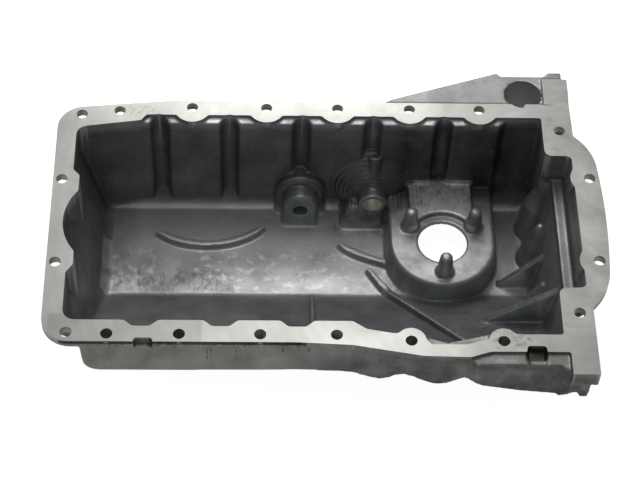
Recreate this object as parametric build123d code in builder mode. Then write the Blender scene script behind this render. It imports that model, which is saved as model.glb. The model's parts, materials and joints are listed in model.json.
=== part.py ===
"""Engine oil pan: one aluminium casting with a machined sealing face.

Millimetres, +Z up. The origin lies on the sealing face (Z = 0), in the vertical plane
through the crankshaft (Y = 0) and in the plane of the gearbox face (X = 0). The front of
the engine is towards -X. The sloping side of the sump is towards -Y, and the deep side,
with the drain, is towards +Y.
"""

import os
from math import tan, radians

from build123d import *

# ---------------------------------------------------------------- driving dimensions
# Sealing flange
front_x = -405.0  # front edge, measured from the gearbox face
far_edge_y = 113.3
near_edge_y = -113.8
flange_t = 8.0
flange_corner_r = 21.0
seat_reach = 18.0  # crankshaft seal seat, past the gearbox face
seat_half = 81.0  # half the length of that seat
seat_flat_half = 48.0

# Bolts to the engine block
bolt_hole_d = 9.0
bolt_head_d = 17.0  # room for a bolt head and its socket
far_boss_r = 14.5
near_boss_r = 11.0
far_bolts = [(-300.1, 106.7), (-241.5, 106.7), (-185.3, 106.7), (-128.3, 106.7), (-72.7, 106.7)]
far_corner_bolts = [(-386.5, 98.9), (-357.0, 102.8)]
near_bolts = [(-357.0, -107.0), (-304.5, -107.0), (-245.6, -107.0), (-189.9, -107.0)]
near_boss_bolts = [(-135.7, -111.7), (-68.2, -111.7)]
near_corner_bolt = (-386.5, -105.9)
front_bolts = [(-398.3, 34.3), (-398.3, -43.6)]
seat_bolts = [(9.0, 39.1), (9.0, -39.1)]
rear_bolts = [(-10.5, 86.3), (-10.5, -86.3)]

# Sump
wall = 4.5
floor_depth = 107.5  # sealing face down to the inner face of the floor
slope_start_y = 1.2  # the floor is level from here to the far wall
slope_angle = 31.0
far_wall_y = 93.3
far_foot_y = 90.5  # foot of the far wall, past its rounded corner
front_wall_x = -390.0
front_foot_x = -371.0
rear_wall_x = -24.0
rear_foot_x = -27.0
near_tab_y = -95.0  # inner edge of the flange at the near bolts
scallop_depth = 5.2
scallop_x = [-332.5, -274.5, -218.5]
window_far_y = 99.2
ledge_depth = 3.5  # machined face down to the as-cast ledge beside the far bosses
column_r = 7.0
column_x = [-326.0, -270.8, -213.4, -156.8, -100.5]
seat_pocket_depth = 30.0
seat_pocket_x = -3.0
recess_top_r = 9.0
recess_flare = 0.4  # growth in radius of the recess under the near corner bolt, per mm down
recess_depth = 75.0


def slope_z(y, lift=0.0):
    """Height of the sloping side's inner face at y, moved in by lift."""
    rise = (slope_start_y - y) * tan(radians(slope_angle))
    return -floor_depth + rise + lift


# ---------------------------------------------------------------- outlines
def near_edge_points(gap_points):
    """Inner edge on the near side, from the gearbox end to the front.

    The gap points close it between the two bolt bosses near the gearbox end.
    """
    points = [(-62, -105.8), *gap_points, (-149, -105.3), (-168, -101.8), (-178, near_tab_y)]
    for x in reversed(scallop_x):
        points += [(x + 12.5, near_tab_y), (x + 6.5, near_tab_y - scallop_depth)]
        points += [(x - 6.5, near_tab_y - scallop_depth), (x - 12.5, near_tab_y)]
    return points


def opening(far_points, gap_points):
    """Face of the pan's opening, closed by the far points from the front to the rear."""
    with BuildSketch() as face:
        with BuildLine():
            Polyline(
                (-385, 23), (-385, 38), (front_wall_x, 43.5), *far_points,
                (rear_wall_x, -105.8), *near_edge_points(gap_points),
                (front_wall_x, near_tab_y), (front_wall_x, -53), (-385, -46), (-385, -33.8),
            )
            ThreePointArc((-385, -33.8), (-395, -4.8), (-385, 23))
        make_face()
        with BuildSketch(mode=Mode.ADD):
            with Locations(((rear_wall_x + seat_pocket_x) / 2, -1.5)):
                Rectangle(seat_pocket_x - rear_wall_x + 2, 125)
        with Locations(*near_boss_bolts):
            Circle(near_boss_r, mode=Mode.SUBTRACT)
        with Locations(*seat_bolts):
            Circle(15, mode=Mode.SUBTRACT)
    return face.sketch


window_gap = [(-83, -110.8), (-95, -114.8), (-121, -114.8), (-128, -107)]
cavity_gap = [(-77, -103), (-108.5, -110.5), (-128, -105)]
window_far = [(front_wall_x, 86), (-341, 92.2), (-336, window_far_y), (rear_wall_x, window_far_y)]
cavity_far = [(front_wall_x, 86), (-341, far_wall_y), (-57, far_wall_y), (-52, 98), (rear_wall_x, 98)]


def rounded(face, radius, corners):
    """Round the corners of a face that lie nearest to the given points."""
    with BuildSketch() as result:
        add(face)
        picked = [result.vertices().sort_by_distance(corner)[0] for corner in corners]
        fillet(picked, radius)
    return result.sketch


front_corners = [(front_wall_x, 86), (front_wall_x, near_tab_y)]
seat_mouth_corners = [(rear_wall_x, 61), (rear_wall_x, -64)]
seat_corners = [(seat_pocket_x + 1, 61), (seat_pocket_x + 1, -64)]
scallop_corners = [
    (x + side * half, y)
    for x in scallop_x
    for side in (-1, 1)
    for half, y in ((12.5, near_tab_y), (6.5, near_tab_y - scallop_depth))
]

# Edge of the machined face
with BuildSketch() as window:
    add(opening(window_far, window_gap))
    with Locations(*far_bolts):
        Circle(far_boss_r, mode=Mode.SUBTRACT)

window_face = rounded(window.sketch, 9, front_corners)
window_face = rounded(window_face, 6, seat_mouth_corners + seat_corners)
window_face = rounded(window_face, 3, scallop_corners)

# Plan of the hollow below it: the far wall is a row of flat panels and hollow columns
with BuildSketch() as hollow:
    add(opening(cavity_far, cavity_gap))
    with Locations(*[(x, far_wall_y - 0.5) for x in column_x]):
        Circle(column_r)

column_corners = [(x + side * column_r, far_wall_y) for x in column_x for side in (-1, 1)]
hollow_face = rounded(hollow.sketch, 9, front_corners)
hollow_face = rounded(hollow_face, 6, seat_mouth_corners + seat_corners)
hollow_face = rounded(hollow_face, 3, scallop_corners + column_corners)

# Cross-section and side view of the hollow
with BuildSketch(Plane.YZ) as cross_section:
    with BuildLine():
        Polyline(
            (-145, 1), (-145, slope_z(-145)), (slope_start_y, -floor_depth), (far_foot_y, -floor_depth),
            (far_wall_y + 8, -floor_depth + 20), (far_wall_y + 8, 1), close=True,
        )
    make_face()
    fillet(cross_section.vertices().sort_by_distance((slope_start_y, -floor_depth))[0], 8)
    fillet(cross_section.vertices().sort_by_distance((far_foot_y, -floor_depth))[0], 7)
    fillet(cross_section.vertices().sort_by_distance((far_wall_y + 8, -floor_depth + 20))[0], 9)

with BuildSketch(Plane.XZ) as side_view:
    with BuildLine():
        Polyline(
            (-397, 1), (-397, -10), (-388, -32), (front_foot_x, -floor_depth),
            (rear_foot_x, -floor_depth), (seat_pocket_x - 12, -seat_pocket_depth),
            (seat_pocket_x - 3, -seat_pocket_depth), (seat_pocket_x, 0), (seat_pocket_x, 1), close=True,
        )
    make_face()
    fillet(side_view.vertices().sort_by_distance((front_foot_x, -floor_depth))[0], 9)
    fillet(side_view.vertices().sort_by_distance((rear_foot_x, -floor_depth))[0], 7)
    fillet(side_view.vertices().sort_by_distance((seat_pocket_x - 3, -seat_pocket_depth))[0], 3)
    fillet(side_view.vertices().sort_by_distance((-388, -32))[0], 12)


def three_view_solid(plan, cross, side, top):
    """Solid whose plan, cross-section and side view are the three given faces."""
    with BuildPart() as solid:
        with BuildSketch(Plane.XY.offset(top)):
            add(plan)
        extrude(amount=-floor_depth - 2 * wall)
        extrude(cross, amount=600, both=True, mode=Mode.INTERSECT)
        extrude(side, amount=300, both=True, mode=Mode.INTERSECT)
    return solid.part


def corner_recess(spare):
    """Flared recess under the corner bolt, grown all round by spare."""
    top = -flange_t if spare == 0 else 0
    top_r = recess_top_r + spare + recess_flare * (-flange_t - top)
    with BuildPart() as recess:
        with BuildSketch(Plane.XY.offset(top)):
            with Locations(near_corner_bolt):
                Circle(top_r)
        with BuildSketch(Plane.XY.offset(top - recess_depth)):
            with Locations(near_corner_bolt):
                Circle(top_r + recess_flare * recess_depth)
        loft()
    return recess.part


with BuildPart() as hollow_body:
    add(three_view_solid(hollow_face, cross_section.sketch, side_view.sketch, 0))
    add(corner_recess(wall), mode=Mode.SUBTRACT)
hollow_solid = hollow_body.part


# The outside of the sump runs one wall thickness away from the hollow
with BuildSketch() as sump_outline:
    offset(opening(cavity_far, cavity_gap), amount=wall, kind=Kind.INTERSECTION)
    with Locations(*[(x, far_wall_y - 0.5) for x in column_x]):
        Circle(column_r + wall)
with BuildSketch() as sump_plan:
    add(rounded(sump_outline.sketch, 9 + wall, front_corners))
with BuildSketch(Plane.YZ) as sump_cross:
    offset(cross_section.sketch_local, amount=wall)
with BuildSketch(Plane.XZ) as sump_side:
    offset(side_view.sketch_local, amount=wall)

near_wall_top = -2.5
skirt_t = 4.0
bolt_column_r = 9.0
near_pocket_top = -12.0
with BuildPart() as sump_body:
    add(three_view_solid(sump_plan.sketch, sump_cross.sketch, sump_side.sketch, near_wall_top))
    add(corner_recess(0), mode=Mode.SUBTRACT)
sump = sump_body.part

# Block under the near side of the flange, with a wavy lower edge
with BuildPart() as near_wall:
    with BuildSketch(Plane.XY.offset(near_wall_top)) as near_wall_plan:
        with BuildLine():
            Polyline(
                (-380, -92), (-380, near_edge_y), (-216, near_edge_y), (-178, -115.8), (-130, -123),
                (-95, -124.5), (-88, -130.8), (-27, -130.8), (-19, -138.5), (-5, -138.5), (-5, -92),
                close=True,
            )
        make_face()
    extrude(amount=-50)
    with BuildSketch(Plane.XZ) as near_wall_side:
        with BuildLine():
            Polyline(
                (-179, -37), (-300, -39), (-375, -39), (-377.5, 0), (-5, 0), (-5, -27), (-18, -28.5),
                (-25, -42), (-54, -38), (-82.5, -31.5), (-88, -28),
            )
            Spline(
                (-88, -28), (-95, -30.5), (-105, -37), (-114, -41), (-120, -39.5), (-131, -33.5),
                (-141, -31.5), (-146, -34), (-153, -40), (-168, -40), (-179, -37),
            )
        make_face()
        fillet(near_wall_side.vertices().sort_by_distance((-375, -39))[0], 12)
    extrude(amount=150, mode=Mode.INTERSECT)

# From below the wall is a skirt, with pockets between the columns of the bolts
with BuildSketch() as near_pockets:
    offset(near_wall_plan.sketch_local, amount=-skirt_t)
    with BuildSketch(mode=Mode.INTERSECT):
        with Locations((-195, -103.5)):
            Rectangle(2 * (195 + rear_wall_x - wall), 2 * (103.5 + near_tab_y))
    add(sump_plan.sketch, mode=Mode.SUBTRACT)
    with Locations(*near_bolts, *near_boss_bolts):
        Circle(bolt_column_r, mode=Mode.SUBTRACT)

with BuildSketch() as flange_face:
    with BuildLine():
        Polyline(
            (front_x, 104.5), (-318, far_edge_y), (-20, far_edge_y), (-20, 139.5), (-1, 139.5),
            (0, seat_half), (0, -139.8), (-20, -139.8), (-20, -120.8), (-78, -120.8),
            (-93, -125.6), (-127, -124.8), (-178, -115.8), (-216, near_edge_y),
            (front_x, near_edge_y), close=True,
        )
    make_face()
    corners = [(front_x, 104.5), (front_x, near_edge_y)]
    fillet([flange_face.vertices().sort_by_distance(corner)[0] for corner in corners], flange_corner_r)
    with BuildLine():
        end = (seat_reach - 2.2, seat_flat_half)
        Line((-1, -seat_half), (-1, seat_half))
        Line((-1, seat_half), (0, seat_half))
        ThreePointArc((0, seat_half), (10.6, 67.5), end)
        ThreePointArc(end, (seat_reach, 0), (end[0], -end[1]))
        ThreePointArc((end[0], -end[1]), (10.6, -67.5), (0, -seat_half))
        Line((0, -seat_half), (-1, -seat_half))
    make_face()


# ---------------------------------------------------------------- inside the sump
rib_t = 5.0
rib_height = 6.0

# Level-sensor platform: a raised, U-shaped seat with an opening and three bolt bosses
platform_x = -98.5
platform_y = 36.9
platform_rise = 25.5  # above the floor
platform_z = -floor_depth + platform_rise
platform_r = 43.0
platform_draft = 4.0
sensor_hole_r = 19.8
peg_circle_r = 29.8
peg_height = 22.0
peg_base_r = 7.0
peg_tip_r = 5.0
pad_step = 4.0


def u_shape(radius, reach):
    """Half disc towards -Y with straight sides that run to reach on the +Y side."""
    with BuildSketch() as face:
        with Locations((platform_x, platform_y)):
            Circle(radius)
        with Locations((platform_x, (platform_y + reach) / 2)):
            Rectangle(2 * radius, reach - platform_y)
    return face.sketch


with BuildPart() as platform:
    with BuildSketch(Plane.XY.offset(platform_z)):
        add(u_shape(platform_r, far_wall_y + 2))
    extrude(amount=-(floor_depth + platform_z + wall), taper=-platform_draft)
    chamfer(platform.faces().sort_by(Axis.Z)[-1].edges(), 1.8)
    with BuildSketch(Plane.XY.offset(platform_z - 1)):
        with Locations((platform_x, (platform_y + far_wall_y) / 2 + 12)):
            Rectangle(51, far_wall_y - platform_y + 12)
        with Locations((platform_x, platform_y)):
            Circle(27, mode=Mode.SUBTRACT)
    extrude(amount=pad_step + 1)


def turned(*points):
    """Solid turned about +Z from a half profile, given from its foot to its top."""
    with BuildPart() as body:
        with BuildSketch(Plane.XZ):
            with BuildLine():
                Polyline((0, points[0][1]), *points, (0, points[-1][1]), close=True)
            make_face()
        revolve(axis=Axis.Z)
    return body.part


peg_profile = [(peg_base_r + 1, -3), (peg_base_r, 0), (peg_tip_r, peg_height - 2), (peg_tip_r - 2, peg_height)]
peg = turned(*peg_profile)


def rib_band(height):
    """Space that lies within this height of the floor and of the slope."""
    crest = (slope_start_y + 0.28 * height, -floor_depth + height)
    with BuildPart() as space:
        with BuildSketch(Plane.YZ) as band:
            with BuildLine():
                Polyline(
                    (-112, slope_z(-112, -2)), (slope_start_y, -floor_depth - 2),
                    (far_wall_y, -floor_depth - 2), (far_wall_y, -floor_depth + height), crest,
                    (-112, slope_z(-112, height)), close=True,
                )
            make_face()
            fillet(band.vertices().sort_by_distance(crest)[0], 8)
        extrude(amount=-400)
    return space.part


def rib(spine, tip_t=3.0, root_t=rib_t, both_ends=False, height=rib_height):
    """Rib on the floor along a spine edge, narrow at its free end or at both ends."""
    at = [0, 0.12, 0.5, 0.88, 1]
    end_t = tip_t if both_ends else root_t
    widths = [tip_t, root_t, root_t, root_t, end_t]
    sides = []
    for sign in (1, -1):
        offsets = [(spine % a).rotate(Axis.Z, 90) * (sign * t / 2) for a, t in zip(at, widths)]
        sides.append([(spine @ a) + move for a, move in zip(at, offsets)])
    left, right = sides
    side_line = Polyline if spine.geom_type == GeomType.LINE else Spline
    with BuildPart() as blade:
        with BuildSketch(Plane.XY.offset(-floor_depth - 2)):
            with BuildLine():
                side_line(*left)
                ThreePointArc(left[-1], (spine @ 1) + (spine % 1) * (end_t / 2), right[-1])
                side_line(*right)
                ThreePointArc(left[0], (spine @ 0) - (spine % 0) * (tip_t / 2), right[0])
            make_face()
        extrude(amount=90)
        add(rib_band(height), mode=Mode.INTERSECT)
    return blade.part


with BuildLine() as crescent_line:
    ThreePointArc((-329, 60), (-291, 48.5), (-244, 65))
with BuildLine() as short_rib_line:
    ThreePointArc((-180, 48), (-160, 37), (-134, 29))
with BuildLine() as long_rib_line:
    Line((-157.5, 23), (-84, -80))

with BuildLine() as slope_rib_line:
    Line((-204, -1), (-205, -60))

floor_ribs = [
    rib(slope_rib_line.line.edges()[0], tip_t=2.5, root_t=2.5, both_ends=True, height=3.0),
    rib(crescent_line.line.edges()[0], both_ends=True),
    rib(short_rib_line.line.edges()[0]),
    rib(long_rib_line.line.edges()[0]),
]

# Gussets between the floor and the rear wall
gusset_t = 5.0
gusset_top_x = -14.0
gussets = []
for tip_x, rise, y in ((-53, 49.5, 13), (-73, 69.5, -38)):
    root = -floor_depth - 2
    tip = (tip_x, max(slope_z(y), -floor_depth + 2))
    top = (gusset_top_x, -floor_depth + rise)
    with BuildPart() as gusset:
        with BuildSketch(Plane.XZ.offset(-y)):
            with BuildLine():
                Polyline(tip, top, (gusset_top_x, root), (tip_x, root), close=True)
            make_face()
            fillet(vertices().sort_by_distance(tip)[0], 3)
        extrude(amount=gusset_t / 2, both=True)
    gussets.append(gusset.part)

# Rounded humps of the rear wall; from outside they are pockets for the gearbox bolts
hump_r = 14.0
humps = []
for x, y, rise in ((-21, 68, 55.5), (-22, 38, 41.5), (-22, -12, 31.5)):
    hump = turned((hump_r, -2), (hump_r - 3, rise - 18), (2, rise + 6))
    humps.append(Pos(x, y, -floor_depth) * hump)

# Drain: a bored boss on a pedestal, with a dish in the far wall around it
drain_x = -154.3
drain_rise = 27.5  # above the floor
drain_z = -floor_depth + drain_rise
drain_mouth_y = 72.0
drain_boss_r = 11.5
drain_bore_r = 7.0
dish_r = 41.0
dish_top_r = 18.0
dish_height = 11.0

with BuildPart() as drain_boss:
    with BuildSketch(Plane.XY.offset(-floor_depth - 2)):
        with Locations((-162, 84)):
            Rectangle(37, 32)
    with BuildSketch(Plane.XY.offset(drain_z - 4)):
        with Locations((-158.5, 86)):
            Rectangle(30, 28)
    loft()
    chamfer([edge for edge in drain_boss.edges() if edge.bounding_box().size.Z > 5], 3)
    chamfer(drain_boss.faces().sort_by(Axis.Z)[-1].edges(), 1.5)
    with BuildSketch(Plane.XZ.offset(-drain_mouth_y)):
        with Locations((drain_x, drain_z)):
            Circle(drain_boss_r)
    extrude(amount=-28)

with BuildPart() as dish:
    with BuildSketch(Plane.XZ.offset(-far_wall_y - 6)):
        with Locations((drain_x, drain_z)):
            Circle(dish_r)
    with BuildSketch(Plane.XZ.offset(-far_wall_y + dish_height)):
        with Locations((drain_x, drain_z)):
            Circle(dish_top_r)
    loft()
    chamfer(dish.faces().sort_by(Axis.Y)[0].edges(), 3)

# Blind bolt boss at the foot of the middle column: an arch in front of a wider one
arch_x = -213.3
arch_rise = 23.5  # above the floor
arch_z = -floor_depth + arch_rise


def arch(radius, front_y, corner):
    """Arch-shaped block from front_y to the far wall."""
    with BuildPart() as block:
        with BuildSketch(Plane.XZ.offset(-front_y)):
            with Locations((arch_x, arch_z)):
                Circle(radius)
            with Locations((arch_x, (arch_z - floor_depth - 2) / 2)):
                Rectangle(2 * radius, floor_depth + 2 + arch_z)
        extrude(amount=-(far_wall_y + 8 - front_y))
        chamfer(block.faces().sort_by(Axis.Y)[0].edges().filter_by(GeomType.LINE, reverse=True), corner)
    return block.part


arches = [arch(20, 84, 3), arch(14, 71, 2)]


# ---------------------------------------------------------------- gearbox end
housing_z = 70.0  # height of the gearbox housing's centre above the sealing face
collar_r = 150.0
collar_inner_r = 138.0
collar_t = 20.0

with BuildPart() as collar:
    with BuildSketch(Plane.YZ):
        with Locations((0, housing_z)):
            Circle(collar_r)
            Circle(collar_inner_r, mode=Mode.SUBTRACT)
        with Locations((0, -60 - 1)):
            Rectangle(400, 120, mode=Mode.INTERSECT)
    extrude(amount=-collar_t)
    with BuildSketch(Plane.YZ.offset(-6)):
        with Locations((-130, -20)):
            Rectangle(19.6, 21)
    extrude(amount=-6.5)
    with Locations((-10, -132, -7.5), (-10, 132, -7.5)):
        Box(20, 15.6, 15)

# Bracket on the far side: a flat web and a round pocket beside the gearbox face
web_top = -1.0
web_t = 8.0
pocket_x = -36.5
pocket_y = 123.9
pocket_r = 14.5
pocket_depth = 38.0
with BuildPart() as bracket:
    with BuildSketch(Plane.XY.offset(web_top)):
        with BuildLine():
            Polyline(
                (-150, 108), (-150, 113), (-141.5, 118.3), (-56, 146.9), (-52.8, 143.4),
                (-18.7, 143.4), (-14, 148), (-4, 148), (-4, 108), close=True,
            )
        make_face()
    extrude(amount=-web_t)
    with BuildSketch(Plane.XY.offset(web_top)):
        with Locations((pocket_x, pocket_y)):
            Circle(pocket_r + wall)
        with Locations((pocket_x, (pocket_y + far_wall_y) / 2)):
            Rectangle(2 * (pocket_r + wall), pocket_y - far_wall_y)
    extrude(amount=-pocket_depth - wall)

# ---------------------------------------------------------------- casting
with BuildPart() as inner_features:
    add(platform.part)
    add(dish.part)
    add(drain_boss.part)
    for piece in floor_ribs + gussets + humps + arches:
        add(piece)
    add(sump, mode=Mode.INTERSECT)
    with Locations(*[(platform_x, platform_y, platform_z)]):
        with PolarLocations(peg_circle_r, 3, start_angle=30):
            add(peg)

with BuildPart() as pan:
    add(near_wall.part)
    with BuildSketch(Plane.XY.offset(near_pocket_top)):
        add(near_pockets.sketch)
    extrude(amount=-floor_depth, mode=Mode.SUBTRACT)
    add(sump)
    with BuildSketch():
        add(flange_face.sketch)
    extrude(amount=-flange_t)
    add(collar.part)
    add(bracket.part)
    add(hollow_solid, mode=Mode.SUBTRACT)
    add(inner_features.part)
    # bosses of the far bolts and the machined edge above the ledge
    with BuildSketch():
        with Locations(*far_bolts):
            Circle(far_boss_r)
        add(flange_face.sketch, mode=Mode.INTERSECT)
    extrude(amount=-flange_t)
    with BuildSketch():
        add(window_face)
        with BuildSketch(mode=Mode.INTERSECT):
            with Locations((-200, far_wall_y)):
                Rectangle(400, 20)
            with Locations((-101, -110)):
                Rectangle(60, 18)
    extrude(amount=-ledge_depth, mode=Mode.SUBTRACT)
    # under the platform
    with BuildSketch(Plane.XY.offset(platform_z - wall - 1.5)):
        add(u_shape(platform_r - wall - 2, far_wall_y + 30))
    extrude(amount=-60, mode=Mode.SUBTRACT)
    with Locations((platform_x, platform_y, platform_z)):
        Hole(sensor_hole_r)
        with Locations((0, 0, -3.5 - 10)):
            Cylinder(25, 20, mode=Mode.SUBTRACT)
        with PolarLocations(peg_circle_r, 3, start_angle=30):
            Cylinder(2.5, 36, mode=Mode.SUBTRACT)
    # drain
    with BuildSketch(Plane.XZ.offset(-far_wall_y - 20)):
        with Locations((drain_x, drain_z)):
            Circle(dish_r + 12 - wall)
    with BuildSketch(Plane.XZ.offset(-far_wall_y + dish_height - wall)):
        with Locations((drain_x, drain_z)):
            Circle(dish_top_r - wall)
    loft(mode=Mode.SUBTRACT)
    with BuildSketch(Plane.XZ.offset(-drain_mouth_y + 1)):
        with Locations((drain_x, drain_z)):
            Circle(drain_bore_r)
    extrude(amount=-60, mode=Mode.SUBTRACT)
    with BuildSketch(Plane.XZ.offset(-70)):
        with Locations((arch_x, arch_z - 4)):
            Circle(6.2)
    extrude(amount=-14, mode=Mode.SUBTRACT)
    # bolt holes
    with BuildSketch():
        with Locations(*far_bolts, *far_corner_bolts, *near_bolts, *near_boss_bolts, near_corner_bolt):
            Circle(bolt_hole_d / 2)
        with Locations(*front_bolts, *seat_bolts, *rear_bolts):
            Circle(bolt_hole_d / 2)
    extrude(amount=-60, mode=Mode.SUBTRACT)
    with BuildSketch(Plane.XY.offset(-flange_t)):
        with Locations(*far_corner_bolts, *far_bolts, *front_bolts, *seat_bolts, *rear_bolts):
            Circle(bolt_head_d / 2)
    extrude(amount=-60, mode=Mode.SUBTRACT)
    with BuildSketch(Plane.XY.offset(-31)):
        with Locations(*near_boss_bolts):
            Circle(bolt_head_d / 2 - 0.5)
    extrude(amount=-30, mode=Mode.SUBTRACT)
    # groove and notch in the near edge
    with BuildSketch(Plane.YZ.offset(-389)):
        with Locations((near_edge_y, -2.6)):
            Rectangle(4, 3)
    extrude(amount=174, mode=Mode.SUBTRACT)
    with BuildSketch():
        with Locations((-330.5, near_edge_y)):
            Rectangle(13.5, 7)
    extrude(amount=-flange_t, mode=Mode.SUBTRACT)
    # slot above the shelf
    with BuildSketch():
        with Locations((-44.5, -120.8)):
            Rectangle(14.5, 10)
    extrude(amount=-9, mode=Mode.SUBTRACT)
    with BuildSketch(Plane.XY.offset(near_wall_top)):
        with Locations((-44.5, -126)):
            Rectangle(14.5, 12)
    extrude(amount=-1, mode=Mode.SUBTRACT)
    with BuildSketch(Plane.XY):
        with Locations((pocket_x, pocket_y)):
            Circle(pocket_r)
        with Locations((-16, 100)):
            Rectangle(40, 26.6, mode=Mode.SUBTRACT)
    extrude(amount=-pocket_depth, mode=Mode.SUBTRACT)

oil_pan = pan
oil_pan.part.label = "oil_pan"
os.makedirs("parts", exist_ok=True)
export_step(oil_pan.part, "parts/oil_pan.step")
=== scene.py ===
"""Engine oil pan on a white table: cast skin, milled face, drilled bores, drain thread and stage.

Metres, +Z up. The origin lies on the sealing face, as in the solid model. The constants and tables
at the top give distances in millimetres, and MM turns them into metres.
"""

import json
import math
from typing import NamedTuple

import bmesh
import bpy
from mathutils import Euler, Matrix, Vector
from mathutils.kdtree import KDTree


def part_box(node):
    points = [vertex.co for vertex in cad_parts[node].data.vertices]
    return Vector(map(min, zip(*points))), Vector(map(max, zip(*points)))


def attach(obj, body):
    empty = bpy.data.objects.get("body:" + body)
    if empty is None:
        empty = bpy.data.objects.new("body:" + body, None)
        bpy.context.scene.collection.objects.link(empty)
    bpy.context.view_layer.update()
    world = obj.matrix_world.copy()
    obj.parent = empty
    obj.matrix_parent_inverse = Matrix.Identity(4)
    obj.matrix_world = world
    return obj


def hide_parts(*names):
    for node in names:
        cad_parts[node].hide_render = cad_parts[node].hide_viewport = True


bl_info = {
    "name": "Engine oil pan",
    "version": (1, 0, 0),
    "blender": (4, 5, 0),
    "location": "View3D > Sidebar > Oil pan",
    "description": "Dresses the cast oil pan and sets its stage",
    "category": "Object",
}

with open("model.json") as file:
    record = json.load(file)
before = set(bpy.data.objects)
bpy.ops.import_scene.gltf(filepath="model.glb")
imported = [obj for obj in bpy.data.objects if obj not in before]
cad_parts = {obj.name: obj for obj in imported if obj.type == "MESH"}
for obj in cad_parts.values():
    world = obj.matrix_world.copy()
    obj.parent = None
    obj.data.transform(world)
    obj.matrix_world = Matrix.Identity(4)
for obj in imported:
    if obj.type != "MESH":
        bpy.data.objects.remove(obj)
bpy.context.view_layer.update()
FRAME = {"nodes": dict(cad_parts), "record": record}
PAN = "oil_pan"
PAN_LOW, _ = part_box(PAN)
MM = 0.001

# Places and sizes of the solid model
FLANGE_T = 8.0
BOLT_R = 4.5
DRAIN_X, DRAIN_Z = -154.3, -80.0
DRAIN_MOUTH_Y = 72.0
DRAIN_R = 7.0
DISH_R = 41.5  # rings round the drain fade out here
DISH_FROM_Y, DISH_TOP_Z = 70, -34.0
SENSOR_X, SENSOR_Y, SENSOR_R = -98.5, 36.9, 19.8
# Stem above the drain: foot, head, and the radius at each
DRAIN_STEM = ((DRAIN_X + 1, 86, -70), (DRAIN_X + 1, 94, -43), 6.0, 4.8)

# Finishes of the cast body, in the order of its material slots
CAST, MILLED, DRILLED = range(3)
WALL_REACH = 0.8  # a face this near to a hole's radius is on its wall
FACE_REACH = 0.02  # a level face this near to height zero is milled
SHARP_ANGLE = math.radians(50)

WELD_REACH = 0.005  # points this near to each other are one
STEM_SIDES = 24
THREAD_COLUMNS = 48
# How fast the thread deepens with each pitch from the middle of a crest, less what stays flat
THREAD_SLOPE, THREAD_FLAT = 3.2, 0.3

TABLE_HALF = 4000
TABLE_GAP = 0.1  # air between the table and the pan's lowest point


# ---------------------------------------------------------------- helpers
def linear(code):
    """Linear colour with alpha from an sRGB hex value such as #8A8C8C."""
    channels = []
    for start in (1, 3, 5):
        share = int(code[start : start + 2], 16) / 255
        channels.append(share / 12.92 if share <= 0.04045 else ((share + 0.055) / 1.055) ** 2.4)
    return channels + [1.0]


def node(tree, kind, links=None, values=None, stops=None, **settings):
    """Add a node with its settings, its sockets' values, its colour stops and the links into it."""
    made = tree.nodes.new(kind)
    for name, value in settings.items():
        setattr(made, name, value)
    for socket, value in (values or {}).items():
        made.inputs[socket].default_value = value
    for socket, source in (links or {}).items():
        tree.links.new(source, made.inputs[socket])
    for index, (position, code) in enumerate(stops or ()):
        made.color_ramp.elements[index].position = position
        made.color_ramp.elements[index].color = linear(code)
    return made


def blank_material(name):
    """New node material with only an output."""
    material = bpy.data.materials.new(name)
    material.use_nodes = True
    material.node_tree.nodes.clear()
    return material, material.node_tree


def per_mm(size_mm):
    """Scale of a noise texture whose features are this big."""
    return 1.0 / (size_mm * MM)


def wave_scale(pitch_mm):
    """Scale of a wave texture whose waves are this far apart; a unit holds 20 radians of them."""
    return 2 * math.pi * per_mm(pitch_mm) / 20


# ---------------------------------------------------------------- patterns
def within(tree, place, low, high, blur):
    """Mask of a box in millimetres with soft edges; None leaves that side open."""
    mask = None
    for axis, limits in enumerate(zip(low, high)):
        for limit, inwards in zip(limits, (1, -1)):
            if limit is None:
                continue
            soft = inwards * blur / 2
            edge = node(
                tree, "ShaderNodeMapRange", {"Value": place[axis]},
                {"From Min": (limit - soft) * MM, "From Max": (limit + soft) * MM},
            ).outputs["Result"]
            if mask is not None:
                edge = node(
                    tree, "ShaderNodeMath", {0: mask, 1: edge}, operation="MULTIPLY",
                ).outputs[0]
            mask = edge
    return mask


def ragged(tree, at, patch, cut):
    """Mask of ragged patches: noise of this size along X, Y and Z, cut between two levels."""
    stretch = [patch[0] / size for size in patch]
    stretched = node(tree, "ShaderNodeVectorMath", {0: at}, {1: stretch}, operation="MULTIPLY")
    noise = node(
        tree, "ShaderNodeTexNoise", {"Vector": stretched.outputs[0]},
        {"Scale": per_mm(patch[0]), "Detail": 4.0, "Roughness": 0.6},
    )
    return between(tree, noise.outputs["Fac"], *cut)


def between(tree, value, start, full):
    """Mask that is empty up to one level of a value and full from the other."""
    return node(
        tree, "ShaderNodeMapRange", {"Value": value}, {"From Min": start, "From Max": full},
    ).outputs["Result"]


def layer(tree, under, code, masks, strength):
    """Lay a colour over another where all the masks meet, at this strength."""
    where = masks[0]
    for mask in masks[1:]:
        where = node(tree, "ShaderNodeMath", {0: where, 1: mask}, operation="MULTIPLY").outputs[0]
    where = node(tree, "ShaderNodeMath", {0: where}, {1: strength}, operation="MULTIPLY")
    # sockets 6 and 7 of a mix node are its two colours, and its output 2 is the mixed one
    return node(
        tree, "ShaderNodeMix", {0: where.outputs[0], 6: under}, {7: linear(code)},
        data_type="RGBA",
    ).outputs[2]


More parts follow.
